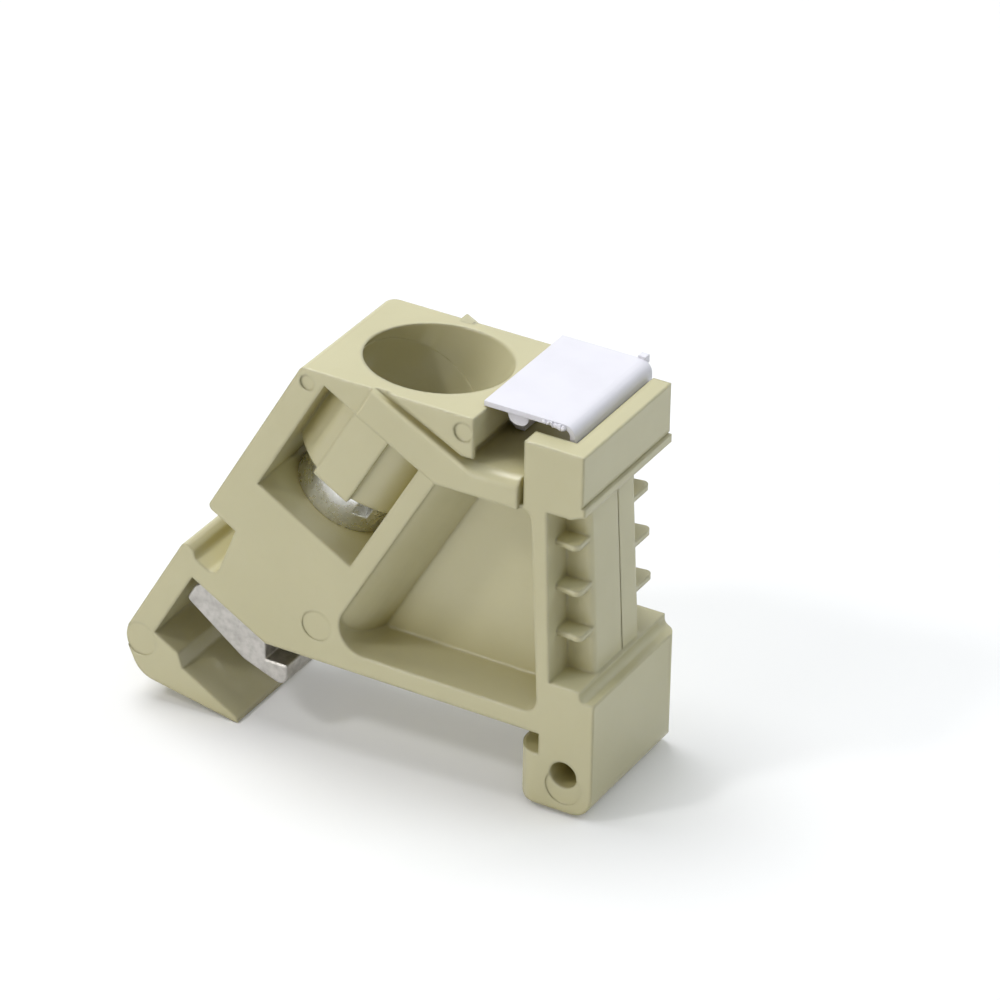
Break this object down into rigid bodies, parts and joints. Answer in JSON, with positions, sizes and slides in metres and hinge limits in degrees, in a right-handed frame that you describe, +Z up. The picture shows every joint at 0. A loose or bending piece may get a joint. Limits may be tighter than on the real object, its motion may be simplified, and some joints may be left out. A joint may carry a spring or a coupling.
{
  "type": "rail end stop",
  "caption": "Moulded end stop that clamps onto a mini mounting rail with a slanted screw and a steel jaw, with a blank marker tag on top.",
  "frame": {"origin": "on the top of the rail's lips, over the rail's centre line, halfway through the housing's width", "axes": "+X across the rail towards the fixed hook, +Y along the rail, +Z up from the rail"},
  "size_m": [0.026, 0.0091, 0.0213],
  "materials": {
    "housing": "beige moulding, fine satin texture",
    "clamp_screw": "bright zinc-plated steel",
    "clamp_jaw": "zinc-plated stamped steel",
    "marker_tag": "blank white plastic"
  },
  "bodies": {
    "housing": {"housing": "housing", "marker_tag": "marker_tag"},
    "screw": {"clamp_screw": "clamp_screw"},
    "jaw": {"clamp_jaw": "clamp_jaw"}
  },
  "joints": [
    {"name": "screw_turn", "type": "hinge", "parent": "housing", "child": "screw", "pos_m": [-0.0071, 0, 0.0041], "axis": [0.5, 0, 0.866], "range_deg": [0, 1945]},
    {"name": "jaw_slide", "type": "slide", "parent": "housing", "child": "jaw", "axis": [-0.5, 0, -0.866], "range_m": [0, 0.0027]}
  ],
  "couplings": [
    {"joint": "screw_turn", "follows": "jaw_slide", "rad_per_m": 12566}
  ]
}
